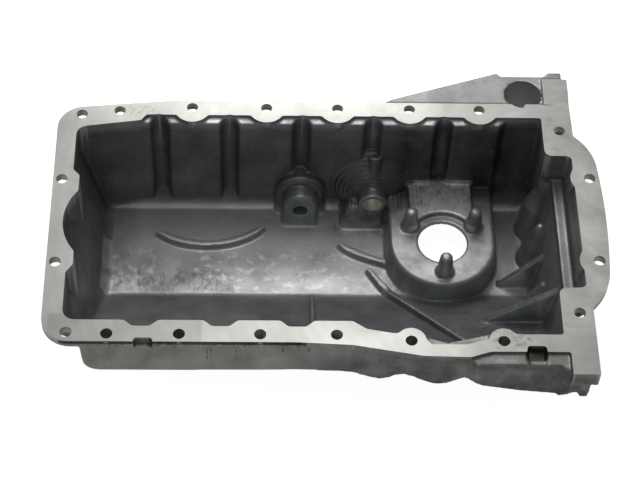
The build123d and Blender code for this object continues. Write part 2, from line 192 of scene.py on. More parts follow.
def drain_rings(tree, place, pitch):
    """Height of the turned rings round the drain's axis, this many millimetres apart."""
    across, up = (
        node(
            tree, "ShaderNodeMath", {0: place[axis]}, {1: -centre * MM}, operation="ADD",
        ).outputs[0]
        for axis, centre in (("X", DRAIN_X), ("Z", DRAIN_Z))
    )
    from_axis = node(tree, "ShaderNodeCombineXYZ", {"X": across, "Y": up})
    radius = node(
        tree, "ShaderNodeVectorMath", {0: from_axis.outputs[0]}, operation="LENGTH",
    ).outputs["Value"]
    turn = node(
        tree, "ShaderNodeMath", {0: radius}, {1: 2 * math.pi / (pitch * MM)}, operation="MULTIPLY",
    )
    height = node(tree, "ShaderNodeMath", {0: turn.outputs[0]}, operation="SINE").outputs[0]
    soft = 1.5  # the rings fade over this at the dish's edge
    for mask in (
        between(tree, radius, (DISH_R + soft) * MM, (DISH_R - soft) * MM),
        within(tree, place, (None, DISH_FROM_Y, None), (None, None, DISH_TOP_Z), soft),
    ):
        height = node(
            tree, "ShaderNodeMath", {0: height, 1: mask}, operation="MULTIPLY",
        ).outputs[0]
    return height


# ---------------------------------------------------------------- materials
class StainOrPaintedLight(NamedTuple):
    """A stain, or a patch of painted light or shade, in ragged patches inside a box, in
    millimetres; None leaves the box open there.
    """

    colour: str
    strength: float
    low: tuple
    high: tuple
    blur: float  # width of the box's soft edges
    patch: tuple  # size of the patches along X, Y and Z
    cut: tuple  # noise levels at which a patch starts and is full


# Painted shade lines down the near wall: where along X, how wide, how far down, how strong, and
# their cut
SHADE_LINES = (
    (-284.3, 1.2, -23, 0.60, (0.36, 0.55)),
    (-281.4, 1.2, -21, 0.55, (0.36, 0.55)),
    (-263.1, 1.2, -22, 0.60, (0.36, 0.55)),
    (-260.2, 1.2, -20, 0.50, (0.36, 0.55)),
    (-229.1, 1.4, -13, 0.60, (0.20, 0.45)),
    (-210.1, 1.4, -13, 0.60, (0.20, 0.45)),
)

# stains of the cast skin, with painted light and painted shade among them
CAST_STAINS_AND_PAINTED_LIGHT = (
    # painted shade on the inner walls: the far wall, darkest right of the drain, the near slope and
    # the left end wall
    StainOrPaintedLight("#4A4E55", 0.58, (-392, 80, -103), (-14, None, -9.0), 7.0, (45, 45, 45), (0.10, 0.45)),
    StainOrPaintedLight("#2C2E2F", 0.75, (-135, 82, -100), (-40, None, -9.0), 12.0, (30, 30, 30), (0.25, 0.60)),
    StainOrPaintedLight("#5E656D", 0.50, (-250, -95, -104), (-30, -4, -12), 14.0, (30, 30, 30), (0.30, 0.62)),
    StainOrPaintedLight("#4A4E55", 0.50, (-400, -90, -103), (-372, 90, -9.0), 6.0, (30, 30, 30), (0.15, 0.55)),
    # painted light over the floor, with chalky scuffs that a wash left
    StainOrPaintedLight("#E2E5E5", 0.85, (-350, 46, None), (-112, 98, -105.0), 16.0, (30, 30, 30), (0.10, 0.45)),
    StainOrPaintedLight("#DADDDD", 0.90, (-270, -8, None), (-112, 60, -105.0), 22.0, (22, 22, 22), (0.22, 0.58)),
    StainOrPaintedLight("#F2F4F3", 0.75, (-300, 2, None), (-112, 46, -105.5), 9.0, (9, 7, 9), (0.53, 0.63)),
    StainOrPaintedLight("#EDEFEE", 0.60, (-368, 4, None), (-330, 48, -105.5), 7.0, (6, 10, 9), (0.50, 0.66)),
    # painted highlights: bright lines along the floor's left fillet and its front edge
    StainOrPaintedLight("#F4F6F6", 0.65, (-374.5, 2, -108), (-366.5, 54, -97), 2.0, (14, 20, 20), (0.15, 0.50)),
    StainOrPaintedLight("#F4F6F6", 0.55, (-372, -1.2, None), (-115, 3.6, -104.0),
          1.5, (16, 20, 20), (0.20, 0.60)),
    # dark runs on the shallow floor at the front
    StainOrPaintedLight("#4A4C50", 0.50, (-372, 6, None), (-270, 26, -50.0), 7.0, (7, 9, 9), (0.48, 0.60)),
    StainOrPaintedLight("#3E4044", 0.45, (-352, 4, None), (-275, 20, -50.0), 5.0, (2.0, 9, 9), (0.52, 0.66)),
    # chalky, rougher pad of the level sensor
    StainOrPaintedLight("#EEF0F0", 0.95, (-126, 44, -79.8), (-72, 96, -74.0), 3.0, (5, 5, 5), (0.15, 0.55)),
    StainOrPaintedLight("#D0D3D3", 0.45, (-140, 5, -84), (-58, 70, -79.0), 3.0, (8, 8, 8), (0.40, 0.64)),
    # black painted shade with dried oil in the sealant groove and the notch
    StainOrPaintedLight("#15130F", 0.92, (-392, None, -4.4), (-212, -111.0, -0.7), 0.8, (5, 5, 5), (0.20, 0.42)),
    StainOrPaintedLight("#1B1814", 0.85, (-338, -117, -8.2), (-323, -109.5, -0.7), 1.0, (4, 4, 4), (0.25, 0.48)),
    # black painted shade with grime in the slot of the rear shelf
    StainOrPaintedLight("#1B1814", 0.85, (-53, -127, -9.3), (-36, -115, -0.7), 1.0, (4, 4, 4), (0.25, 0.48)),
    # rusty and pale flecks under the groove
    StainOrPaintedLight("#5A3A22", 0.80, (-372, None, -7.5), (-212, -111.5, -4.0), 1.0, (3, 3, 3), (0.50, 0.62)),
    StainOrPaintedLight("#E8E2D4", 0.75, (-360, None, -8.0), (-230, -111.5, -4.0),
          1.0, (2.4, 4, 4), (0.56, 0.66)),
    # painted light on the outside near the front, and painted shade towards the rear, darkest on
    # the corner block
    StainOrPaintedLight("#E4E3DA", 0.85, (-400, None, None), (-215, -105, -8.0),
          40.0, (20, 20, 30), (0.15, 0.60)),
    StainOrPaintedLight("#55534B", 0.65, (-190, None, None), (None, -100, -8.0),
          40.0, (12, 12, 20), (0.32, 0.62)),
    StainOrPaintedLight("#3F3E39", 0.60, (-60, None, None), (-5, -132, -4), 10.0, (12, 12, 18), (0.25, 0.60)),
    # painted highlight on the step beside the far bolts
    StainOrPaintedLight("#D9DBDA", 0.70, (-300, 91.0, -4.2), (-85, None, -2.6), 0.8, (7, 7, 7), (0.25, 0.55)),
    # painted shade lines down the outside of the near wall
    *(
        StainOrPaintedLight("#2E2F30", strength, (x - width / 2, None, down), (x + width / 2, -100, -7.6),
              0.7, (8, 8, 8), cut)
        for x, width, down, strength, cut in SHADE_LINES
    ),
    # oily smudges and pale scuffs on the web behind the sump
    StainOrPaintedLight("#5C5A55", 0.45, (-96, 60, -60), (-10, None, -2.0), 8.0, (14, 14, 14), (0.50, 0.66)),
    StainOrPaintedLight("#D2D5D6", 0.45, (-96, -90, -90), (-14, 60, -4.0), 8.0, (9, 9, 22), (0.52, 0.68)),
    # dull step under the gearbox flange and dull rear shelf
    StainOrPaintedLight("#5F6162", 0.70, (-24, -80, -34), (-2, 80, -26), 3.0, (8, 14, 8), (0.10, 0.45)),
    StainOrPaintedLight("#6B695F", 0.80, (-110, -140, -9), (-20, -110, -1.5), 5.0, (7, 5, 5), (0.30, 0.60)),
    # painted bluish glint in the blind hole of the arch, painted light on the floor of the
    # bracket's pocket
    StainOrPaintedLight("#A9CAD2", 0.95, (-221, 71.5, -97), (-206, 82, -78), 1.0, (3, 3, 3), (0.30, 0.50)),
    StainOrPaintedLight("#F4F5F4", 0.95, (-56, 121, None), (-18, 152, -2.2), 1.0, (7, 7, 14), (0.05, 0.35)),
    # darker ragged patches low down round the drain
    StainOrPaintedLight("#4A4843", 0.50, (-190, 60, None), (-125, None, -70.0), 10.0, (9, 9, 9), (0.42, 0.64)),
)

# stains of the milled face, with painted highlights among them
MILLED_STAINS_AND_HIGHLIGHTS = (
    # dull patch where a second pass of the cutter ran out
    StainOrPaintedLight("#6F706E", 0.34, (-400, None, None), (-288, -90, None), 2.0, (60, 60, 60), (0.10, 0.30)),
    # mottled film left by the gasket
    StainOrPaintedLight("#77746C", 0.55, (-362, 98, None), (-326, 109, None), 4.0, (3.2, 3.2, 3.2), (0.46, 0.60)),
    StainOrPaintedLight("#6A655C", 0.60, (-76, -118, None), (-48, -100, None),
          5.0, (4.5, 4.5, 4.5), (0.46, 0.62)),
    StainOrPaintedLight("#8A8881", 0.35, (-260, 96, None), (-60, None, None), 8.0, (12, 12, 12), (0.52, 0.66)),
    StainOrPaintedLight("#84827C", 0.35, (-392, -100, None), (-366, 100, None), 4.0, (10, 10, 10), (0.50, 0.66)),
    StainOrPaintedLight("#84827C", 0.35, (-24, -100, None), (None, 100, None), 4.0, (12, 12, 12), (0.50, 0.66)),
    # painted highlights on the gearbox seat, the far edge and the middle of the near edge
    StainOrPaintedLight("#DCDDDA", 0.46, (-40, -100, None), (None, 60, None), 30.0, (30, 30, 30), (0.30, 0.62)),
    StainOrPaintedLight("#E2E3E1", 0.40, (-400, 97, None), (-110, None, None), 25.0, (40, 40, 40), (0.15, 0.60)),
    StainOrPaintedLight("#DCDDDA", 0.40, (-205, None, None), (-95, -100, None), 20.0, (25, 25, 25), (0.15, 0.55)),
    # fine dark specks of grit all over
    StainOrPaintedLight("#4A4640", 0.70, (None, None, None), (None, None, 5), 1.0, (2.2, 2.2, 2.2), (0.70, 0.74)),
)

# Darker patches on the lower part of the far bolt holes
FAR_HOLE_DARKENING = (
    StainOrPaintedLight("#4B443A", 0.6, (None, 95, -9.0), (None, None, -4.0), 2.0, (6, 6, 6), (0.35, 0.6)),
)

# Tints that follow a value: colour, level where it starts, level where it is full, and strength.
# Pointiness is 0.5 on flat metal, more on an outer edge and less in a corner.
# the edge tints are painted light: a highlight on outer edges and shade in corners
EDGE_HIGHLIGHT_AND_CORNER_SHADE = (("#F4F6F6", 0.515, 0.57, 0.60), ("#232426", 0.485, 0.43, 0.60))
GRAIN_TINTS = (("#D8DADA", 0.56, 0.70, 0.16), ("#4A4C4E", 0.44, 0.30, 0.20))
FLOW_TINTS = (("#83878B", 0.52, 0.70, 0.30),)


def lay_stains_and_painted_light(tree, at, place, colour, stains_and_painted_light):
    """Lay every stain and every patch of painted light or shade of a table over a colour, each in
    its box and in its own ragged patches.
    """
    for stain_or_light in stains_and_painted_light:
        masks = [
            within(tree, place, stain_or_light.low, stain_or_light.high, stain_or_light.blur),
            ragged(tree, at, stain_or_light.patch, stain_or_light.cut),
        ]
        colour = layer(tree, colour, stain_or_light.colour, masks, stain_or_light.strength)
    return colour


def tinted(tree, value, colour, tints):
    """Lay every tint of a table over a colour, where the value is between the tint's levels."""
    for code, start, full, strength in tints:
        colour = layer(tree, colour, code, [between(tree, value, start, full)], strength)
    return colour


def cast_aluminium(look):
    """Die-cast aluminium as it leaves the mould: a grey oxide skin with a soft, broken gloss.

    Patchy roughness breaks the highlights up, the fine grain dulls them, stains mark its use, and
    painted light and painted shade stand in for the lamps in places.
    """
    material, tree = blank_material("die_cast_aluminium")
    at = node(tree, "ShaderNodeTexCoord").outputs["Object"]
    place = node(tree, "ShaderNodeSeparateXYZ", {"Vector": at}).outputs
    clouds = node(
        tree, "ShaderNodeTexNoise", {"Vector": at}, {"Scale": per_mm(look.cloud_mm), "Detail": 5.0},
    ).outputs["Fac"]
    grain = node(
        tree, "ShaderNodeTexNoise", {"Vector": at}, {"Scale": per_mm(look.grain_mm), "Detail": 2.0},
    ).outputs["Fac"]
    flow = node(
        tree, "ShaderNodeTexNoise", {"Vector": at},
        {"Scale": per_mm(look.flow_mm), "Detail": 4.0, "Distortion": 1.2},
    ).outputs["Fac"]
    skin = node(
        tree, "ShaderNodeValToRGB", {"Fac": clouds},
        stops=((0.32, look.cast_dark), (0.68, look.cast_light)),
    ).outputs["Color"]
    skin = tinted(tree, flow, skin, FLOW_TINTS)
    skin = lay_stains_and_painted_light(tree, at, place, skin, CAST_STAINS_AND_PAINTED_LIGHT)
    # painted highlight on outer edges and painted shade in the corners, by pointiness
    bent = node(tree, "ShaderNodeNewGeometry").outputs["Pointiness"]
    skin = tinted(tree, bent, skin, EDGE_HIGHLIGHT_AND_CORNER_SHADE)
    skin = tinted(tree, grain, skin, GRAIN_TINTS)
    shine = node(
        tree, "ShaderNodeMapRange", {"Value": clouds},
        {
            "From Min": 0.3, "From Max": 0.7,
            "To Min": look.cast_rough + look.dull, "To Max": look.cast_rough - look.sheen,
        },
    ).outputs["Result"]
    fine = node(
        tree, "ShaderNodeBump", {"Height": grain},
        {"Strength": look.grain_bump, "Distance": look.grain_height},
    ).outputs["Normal"]
    # turning marks of the core pin round the drain
    bump = node(
        tree, "ShaderNodeBump",
        {"Height": drain_rings(tree, place, look.ring_mm), "Normal": fine},
        {"Strength": look.ring_bump, "Distance": look.ring_height},
    ).outputs["Normal"]
    shader = node(
        tree, "ShaderNodeBsdfPrincipled",
        {"Base Color": skin, "Roughness": shine, "Normal": bump}, {"Metallic": look.cast_metal},
    )
    node(tree, "ShaderNodeOutputMaterial", {"Surface": shader.outputs["BSDF"]})
    return material


def milled_aluminium(look):
    """Face-milled aluminium: one bright, flat cut with some stains and painted highlights.

    The faint arcs of the cutter catch the lamps, which gives the face a silky shine.
    """
    material, tree = blank_material("face_milled_aluminium")
    at = node(tree, "ShaderNodeTexCoord").outputs["Object"]
    place = node(tree, "ShaderNodeSeparateXYZ", {"Vector": at}).outputs
    clouds = node(
        tree, "ShaderNodeTexNoise", {"Vector": at}, {"Scale": per_mm(look.cloud_mm), "Detail": 3.0},
    )
    face = node(
        tree, "ShaderNodeValToRGB", {"Fac": clouds.outputs["Fac"]},
        stops=((0.3, look.milled_dark), (0.7, look.milled_light)),
    ).outputs["Color"]
    # the cutter's own pitch is about 0.3 mm; it is drawn far coarser so that it still shows
    arcs = node(
        tree, "ShaderNodeTexWave", {"Vector": at},
        {"Scale": wave_scale(look.arc_mm), "Distortion": 0.6, "Detail": 1.0},
        wave_type="RINGS", rings_direction="Z",
    ).outputs["Fac"]
    face = layer(tree, face, look.milled_dark, [arcs], look.arc_tint)
    face = lay_stains_and_painted_light(tree, at, place, face, MILLED_STAINS_AND_HIGHLIGHTS)
    bump = node(
        tree, "ShaderNodeBump", {"Height": arcs},
        {"Strength": look.arc_bump, "Distance": look.arc_height},
    )
    shader = node(
        tree, "ShaderNodeBsdfPrincipled", {"Base Color": face, "Normal": bump.outputs["Normal"]},
        {"Metallic": 1.0, "Roughness": look.milled_rough},
    )
    node(tree, "ShaderNodeOutputMaterial", {"Surface": shader.outputs["BSDF"]})
    return material


def drilled_aluminium(name, ring_mm, dark, light):
    """Drilled or tapped aluminium: fine rings down the wall of a hole, darker on the lower part of
    the far bolt holes.

    The rings spread the light, so that the wall looks paler and duller than the milled face; the
    thread's near-white colours are painted light for the bright bore.
    """
    material, tree = blank_material(name)
    at = node(tree, "ShaderNodeTexCoord").outputs["Object"]
    place = node(tree, "ShaderNodeSeparateXYZ", {"Vector": at}).outputs
    # a drill's rings are under 0.1 mm apart; these are far coarser so that they show
    rings = node(
        tree, "ShaderNodeTexWave", {"Vector": at},
        {"Scale": wave_scale(ring_mm), "Distortion": 1.5}, bands_direction="Z",
    )
    wall = node(
        tree, "ShaderNodeValToRGB", {"Fac": rings.outputs["Fac"]},
        stops=((0.2, dark), (0.8, light)),
    ).outputs["Color"]
    wall = lay_stains_and_painted_light(tree, at, place, wall, FAR_HOLE_DARKENING)
    shader = node(
        tree, "ShaderNodeBsdfPrincipled", {"Base Color": wall},
        {"Metallic": 0.3, "Roughness": 0.5},
    )
    node(tree, "ShaderNodeOutputMaterial", {"Surface": shader.outputs["BSDF"]})
    return material


def seen_share(tree, camera, mirror):
    """Strength for what the camera sees, plus another for what is seen in or through the object."""
    path = node(tree, "ShaderNodeLightPath").outputs
    direct = node(
        tree, "ShaderNodeMath", {0: path["Is Camera Ray"]}, {1: camera}, operation="MULTIPLY",
    ).outputs[0]
    bent = node(
        tree, "ShaderNodeMath", {0: path["Is Glossy Ray"], 1: path["Is Transmission Ray"]},
        operation="MAXIMUM",
    ).outputs[0]
    bent = node(tree, "ShaderNodeMath", {0: bent}, {1: mirror}, operation="MULTIPLY").outputs[0]
    return node(tree, "ShaderNodeMath", {0: direct, 1: bent}, operation="ADD").outputs[0]


def table_top(stage):
    """Matt white laminate: it keeps the pan's shadow and glows where it is seen.

    The glow makes it a clear white to the eye. In reflections it is faint, as in a dark room.
    """
    material, tree = blank_material("white_laminate")
    glow = seen_share(tree, stage.table_lift, stage.room_glow)
    shader = node(
        tree, "ShaderNodeBsdfPrincipled", {"Emission Strength": glow},
        {
            "Base Color": linear(stage.table_colour), "Roughness": 0.6,
            "Emission Color": (1, 1, 1, 1),
        },
    )
    node(tree, "ShaderNodeOutputMaterial", {"Surface": shader.outputs["BSDF"]})
    return material


# ---------------------------------------------------------------- casting
def new_object(name, mesh):
    """Link a new object that carries this mesh."""
    made = bpy.data.objects.new(name, mesh)
    bpy.context.scene.collection.objects.link(made)
    return made


def welded_copy(source, lift, stem):
    """Copy of the solid's mesh with welded seams, a raised sealing face and the stem's cone."""
    work = bmesh.new()
    work.from_mesh(source.data)
    bmesh.ops.remove_doubles(work, verts=work.verts, dist=WELD_REACH * MM)
    for vertex in work.verts:
        if vertex.co.z > -0.01 * MM:  # on the sealing face
            vertex.co.z += lift
    foot, head, foot_r, head_r = stem
    foot, head = Vector(foot) * MM, Vector(head) * MM
    along = head - foot
    turn = along.to_track_quat("Z", "Y").to_matrix().to_4x4()
    bmesh.ops.create_cone(
        work, cap_ends=True, segments=STEM_SIDES, radius1=foot_r * MM, radius2=head_r * MM,
        depth=along.length, matrix=Matrix.Translation((foot + head) / 2) @ turn,
    )
    mesh = bpy.data.meshes.new("casting_blank")
    work.to_mesh(mesh)
    work.free()
    return mesh


def baked(made):
    """Mesh of the object with its modifiers applied."""
    graph = bpy.context.evaluated_depsgraph_get()
    mesh = bpy.data.meshes.new_from_object(made.evaluated_get(graph))
    made.modifiers.clear()
    made.data = mesh
    return mesh


def soften(made, casting):
    """Round every edge as a mould does, by a fine remesh and a light smoothing."""
    remesh = made.modifiers.new("mould", "REMESH")
    remesh.mode = "VOXEL"
    remesh.voxel_size = casting.voxel
    smooth = made.modifiers.new("radii", "SMOOTH")
    smooth.factor = 0.5
    smooth.iterations = casting.smoothing
    baked(made)


def face_mill(made):
    """Cut the sealing face flat at height zero, as the mill does after casting."""
    work = bmesh.new()
    work.from_mesh(made.data)
    cut = bmesh.ops.bisect_plane(
        work, geom=work.verts[:] + work.edges[:] + work.faces[:],
        plane_co=(0, 0, 0), plane_no=(0, 0, 1), clear_outer=True,
    )
    rim = [part for part in cut["geom_cut"] if isinstance(part, bmesh.types.BMEdge)]
    bmesh.ops.triangle_fill(work, edges=rim, use_beauty=False, normal=(0, 0, 1))
    work.to_mesh(made.data)
    work.free()


def thin_out(made, target):
    """Join small triangles on flat stretches until about this many are left."""
    count = sum(len(face.vertices) - 2 for face in made.data.polygons)
    if count > target:
        fewer = made.modifiers.new("fewer", "DECIMATE")
        fewer.ratio = target / count
        baked(made)


def bolt_centres():
    """Centres of the bolt holes in the sealing face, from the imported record."""
    centres = []
    for mount in FRAME["record"]["mounts"]:
        if mount["kind"] != "bolt_pattern" or mount["axis"][2] < 0:
            continue
        x, y, _ = mount["pos_m"]
        half_x = mount["dims"].get("spacing_x_mm", 0) / 2 * MM
        half_y = mount["dims"].get("spacing_y_mm", 0) / 2 * MM
        centres += [Vector((x + side * half_x, y + side * half_y, 0)) for side in (-1, 1)]
    return centres


def finish_of(face, bolts):
    """Which finish a face has: as cast, milled on the sealing face, or drilled in the holes."""
    centre = face.center
    level = abs(face.normal.z)  # 1 on a level face and 0 on an upright wall
    if centre.z > -FACE_REACH * MM and face.normal.z > 0.99:
        return MILLED
    _, _, from_bolt = bolts.find((centre.x, centre.y, 0))
    in_flange = centre.z > -(FLANGE_T + 0.5) * MM
    if in_flange and level < 0.7 and abs(from_bolt - BOLT_R * MM) < WALL_REACH * MM:
        return DRILLED
    from_sensor = math.hypot(centre.x - SENSOR_X * MM, centre.y - SENSOR_Y * MM)
    if level < 0.5 and abs(from_sensor - SENSOR_R * MM) < WALL_REACH * MM:
        return DRILLED
    from_drain = math.hypot(centre.x - DRAIN_X * MM, centre.z - DRAIN_Z * MM)
    if from_drain < (DRAIN_R + WALL_REACH) * MM and centre.y > DRAIN_MOUTH_Y * MM:
        return DRILLED
    return CAST


def dress(made, finishes):
    """Give each face the finish that the foundry and the machine shop left on it."""
    centres = bolt_centres()
    bolts = KDTree(len(centres))
    for index, centre in enumerate(centres):
        bolts.insert(centre, index)
    bolts.balance()
    mesh = made.data
    mesh.materials.clear()
    for finish in finishes:
        mesh.materials.append(finish)
    for face in mesh.polygons:
        face.material_index = finish_of(face, bolts)
        face.use_smooth = face.material_index != MILLED
    mesh.set_sharp_from_angle(angle=SHARP_ANGLE)


def drain_ring(y, radii):
    """Ring of points round the drain's axis, one at each of these radii."""
    points = []
    for column, radius in enumerate(radii):
        angle = 2 * math.pi * column / len(radii)
        x, z = DRAIN_X * MM + radius * math.cos(angle), DRAIN_Z * MM + radius * math.sin(angle)
        points.append((x, y, z))
    return points


def screw_radius(thread, row, turn):
    """Radius of the thread at this row and share of a turn: flat crests and roots, and slopes."""
    phase = (row / thread.steps + turn) % 1.0
    bite = min(max(abs(phase - 0.5) * THREAD_SLOPE - THREAD_FLAT, 0.0), 1.0)
    return thread.crest_r + (thread.root_r - thread.crest_r) * bite


def thread_mesh(thread):
    """Tapped thread as a tube: its inner wall is a screw surface, its outer wall is buried."""
    length = thread.turns * thread.pitch
    last = thread.turns * thread.steps
    turns = [column / THREAD_COLUMNS for column in range(THREAD_COLUMNS)]
    rings = [
        drain_ring(
            thread.start + row / last * length,
            [screw_radius(thread, row, turn) for turn in turns],
        )
        for row in range(last + 1)
    ]
    for end in (thread.start + length, thread.start):
        rings.append(drain_ring(end, [thread.outer_r] * THREAD_COLUMNS))
    faces = []
    for row in range(len(rings)):
        here, there = row * THREAD_COLUMNS, (row + 1) % len(rings) * THREAD_COLUMNS
        for column in range(THREAD_COLUMNS):
            beside = (column + 1) % THREAD_COLUMNS
            faces.append((here + column, here + beside, there + beside, there + column))
    mesh = bpy.data.meshes.new("drain_thread")
    mesh.from_pydata([point for ring in rings for point in ring], [], faces)
    return mesh


# ---------------------------------------------------------------- settings
class CastingSettings(bpy.types.PropertyGroup):
    """Sizes and colours of the casting's look."""

    voxel: bpy.props.FloatProperty(
        name="Mould detail", description="Grid on which the cast radii are formed",
        default=1.05 * MM, unit="LENGTH", precision=5,
    )
    smoothing: bpy.props.IntProperty(
        name="Mould radii", description="Rounds of smoothing that form the cast radii", default=2,
    )
    triangles: bpy.props.IntProperty(
        name="Triangles", description="Most triangles that the casting may have", default=190000,
    )
    allowance: bpy.props.FloatProperty(
        name="Milling allowance", description="Metal that the mill takes off the sealing face",
        default=2.5 * MM, unit="LENGTH", precision=5,
    )
    grain_mm: bpy.props.FloatProperty(
        name="Cast grain", description="Size of the grain in the cast skin, in millimetres",
        default=1.3,
    )
    grain_bump: bpy.props.FloatProperty(
        name="Grain strength", description="How strongly the grain bends the light", default=0.28,
        subtype="FACTOR",
    )
    grain_height: bpy.props.FloatProperty(
        name="Grain height", description="Height of the grain", default=0.25 * MM, unit="LENGTH",
        precision=5,
    )
    cloud_mm: bpy.props.FloatProperty(
        name="Clouds", description="Size of the cloudy patches, in millimetres", default=28.0,
    )
    flow_mm: bpy.props.FloatProperty(
        name="Flow marks", default=16.0,
        description="Size of the marks left by the metal's flow, in millimetres",
    )
    ring_mm: bpy.props.FloatProperty(
        name="Drain rings", default=3.2,
        description="Distance between the rings round the drain, in millimetres",
    )
    ring_bump: bpy.props.FloatProperty(
        name="Ring strength", description="How strongly the rings bend the light", default=0.45,
        subtype="FACTOR",
    )
    ring_height: bpy.props.FloatProperty(
        name="Ring height", description="Height of the rings", default=0.35 * MM, unit="LENGTH",
        precision=5,
    )
    arc_mm: bpy.props.FloatProperty(
        name="Milling arcs", default=9.42478,
        description="Distance between the cutter's arcs, in millimetres",
    )
    arc_tint: bpy.props.FloatProperty(
        name="Arc colour", description="How far the arcs darken the face", default=0.35,
        subtype="FACTOR",
    )
    arc_bump: bpy.props.FloatProperty(
        name="Arc strength", description="How strongly the arcs bend the light", default=0.05,
        subtype="FACTOR",
    )
    arc_height: bpy.props.FloatProperty(
        name="Arc height", description="Height of the arcs", default=0.05 * MM, unit="LENGTH",
        precision=5,
    )
    cast_dark: bpy.props.StringProperty(
        name="Cast skin, dark", description="sRGB hex colour of the darker patches",
        default="#8F9295",
    )
    cast_light: bpy.props.StringProperty(
        name="Cast skin, light", description="sRGB hex colour of the lighter patches",
        default="#B7BABB",
    )
    cast_metal: bpy.props.FloatProperty(
        name="Cast metal", description="How far the oxide skin behaves as metal", default=0.7,
        subtype="FACTOR",
    )
    cast_rough: bpy.props.FloatProperty(
        name="Cast roughness", description="Middle roughness of the cast skin", default=0.43,
        subtype="FACTOR",
    )
    dull: bpy.props.FloatProperty(
        name="Dull patches", description="How much rougher the dullest patches are", default=0.06,
        subtype="FACTOR",
    )
    sheen: bpy.props.FloatProperty(
        name="Shiny patches", description="How much smoother the shiniest patches are",
        default=0.05, subtype="FACTOR",
    )
    milled_dark: bpy.props.StringProperty(
        name="Milled face, dark", description="sRGB hex colour of the darker patches",
        default="#A2A3A1",
    )
    milled_light: bpy.props.StringProperty(
        name="Milled face, light", description="sRGB hex colour of the lighter patches",
        default="#B4B5B3",
    )
    milled_rough: bpy.props.FloatProperty(
        name="Milled roughness", description="Roughness of the milled face", default=0.42,
        subtype="FACTOR",
    )
    drilled_dark: bpy.props.StringProperty(
        name="Drilled wall, dark", description="sRGB hex colour of the darker rings",
        default="#D2D2CC",
    )
    drilled_light: bpy.props.StringProperty(
        name="Drilled wall, light", description="sRGB hex colour of the lighter rings",
        default="#E6E6E0",
    )


class ThreadSettings(bpy.types.PropertyGroup):
    """Sizes and colours of the drain's thread."""

    crest_r: bpy.props.FloatProperty(
        name="Crest radius", description="Radius to the thread's crests", default=6.2 * MM,
        unit="LENGTH", precision=5,
    )
    root_r: bpy.props.FloatProperty(
        name="Root radius", description="Radius to the thread's roots", default=6.95 * MM,
        unit="LENGTH", precision=5,
    )
    outer_r: bpy.props.FloatProperty(
        name="Outer radius", description="Radius of the tube's buried wall", default=7.8 * MM,
        unit="LENGTH", precision=5,
    )
    pitch: bpy.props.FloatProperty(
        name="Pitch", description="Distance between two crests", default=1.5 * MM,
        unit="LENGTH", precision=5,
    )
    start: bpy.props.FloatProperty(
        name="Start", description="Where the first turn begins on the drain's axis",
        default=73.6 * MM, unit="LENGTH", precision=5,
    )
    turns: bpy.props.IntProperty(name="Turns", description="Number of turns", default=9)
    steps: bpy.props.IntProperty(
        name="Steps", description="Rows of points in each turn", default=8,
    )
    # both thread colours are near white: painted light for the bright light seen in the drain's
    # bore
    tapped_dark: bpy.props.StringProperty(
        name="Thread, dark", description="sRGB hex colour of the darker rings", default="#E9E6DA",
    )
    tapped_light: bpy.props.StringProperty(
        name="Thread, light", description="sRGB hex colour of the lighter rings",
        default="#FBFAF4",
    )


class StageSettings(bpy.types.PropertyGroup):
    """Table, lamps and camera."""

    table_colour: bpy.props.StringProperty(
        name="Table", description="sRGB hex colour of the table top", default="#F2F2EE",
    )
    table_lift: bpy.props.FloatProperty(
        name="Table lift", description="Glow that keeps the table white where it is seen",
        default=0.92,
    )
    room_glow: bpy.props.FloatProperty(
        name="Room glow", description="How bright the room and table are in reflections",
        default=0.1,
    )
    lamp_side: bpy.props.FloatProperty(
        name="Lamp side", description="Side of each square lamp", default=0.5, unit="LENGTH",
    )
    lamp_away: bpy.props.FloatProperty(
        name="Lamp distance", description="Distance of each lamp from the pan", default=1.3,
        unit="LENGTH",
    )
    lamp_aim: bpy.props.FloatVectorProperty(
        name="Lamp aim", description="Point that the lamps are turned to",
        default=(-0.19, 0.0, -0.05), subtype="TRANSLATION",
    )
    lamp_colour: bpy.props.StringProperty(
        name="Lamp colour", description="sRGB hex colour of the lamps", default="#FFFDFA",
    )
    camera_at: bpy.props.FloatVectorProperty(
        name="Camera", description="Place of the camera",
        default=(-0.24966, -0.86326, 1.15516), subtype="TRANSLATION",
    )
    camera_turn: bpy.props.FloatVectorProperty(
        name="Camera turn", description="Direction of the camera",
        default=tuple(map(math.radians, (36.0685, -1.8286, -0.7988))), subtype="EULER",
    )
    lens: bpy.props.FloatProperty(
        name="Lens", description="Focal length in millimetres on a 36 mm sensor", default=106.875,
    )


# Lamps: name, azimuth from +Y and height above the table in degrees, power in watts
LAMPS = (
    ("back_low", 0, 45, 2.5),
    ("back_high", 0, 60, 2.3),
    ("overhead", 0, 82, 1.7),
    ("front_fill", 190, 55, 0.5),
    ("left_fill", 250, 50, 0.2),
)


# ---------------------------------------------------------------- operators
class OILPAN_OT_casting(bpy.types.Operator):
    """Make the cast, milled and drilled body of the pan."""

    bl_idname = "oilpan.casting"
    bl_label = "Cast body"

    def execute(self, context):
        casting = context.scene.oilpan_casting
        source = FRAME["nodes"][PAN]
        body = new_object("cast_body", welded_copy(source, casting.allowance, DRAIN_STEM))
        soften(body, casting)
        face_mill(body)
        thin_out(body, casting.triangles)
        if not body.data.polygons:
            raise RuntimeError("the cast body came out empty")
        drilled = drilled_aluminium(
            "drilled_aluminium", casting.arc_mm, casting.drilled_dark, casting.drilled_light,
        )
        dress(body, (cast_aluminium(casting), milled_aluminium(casting), drilled))
        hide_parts(PAN)
        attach(body, "root")
        return {"FINISHED"}


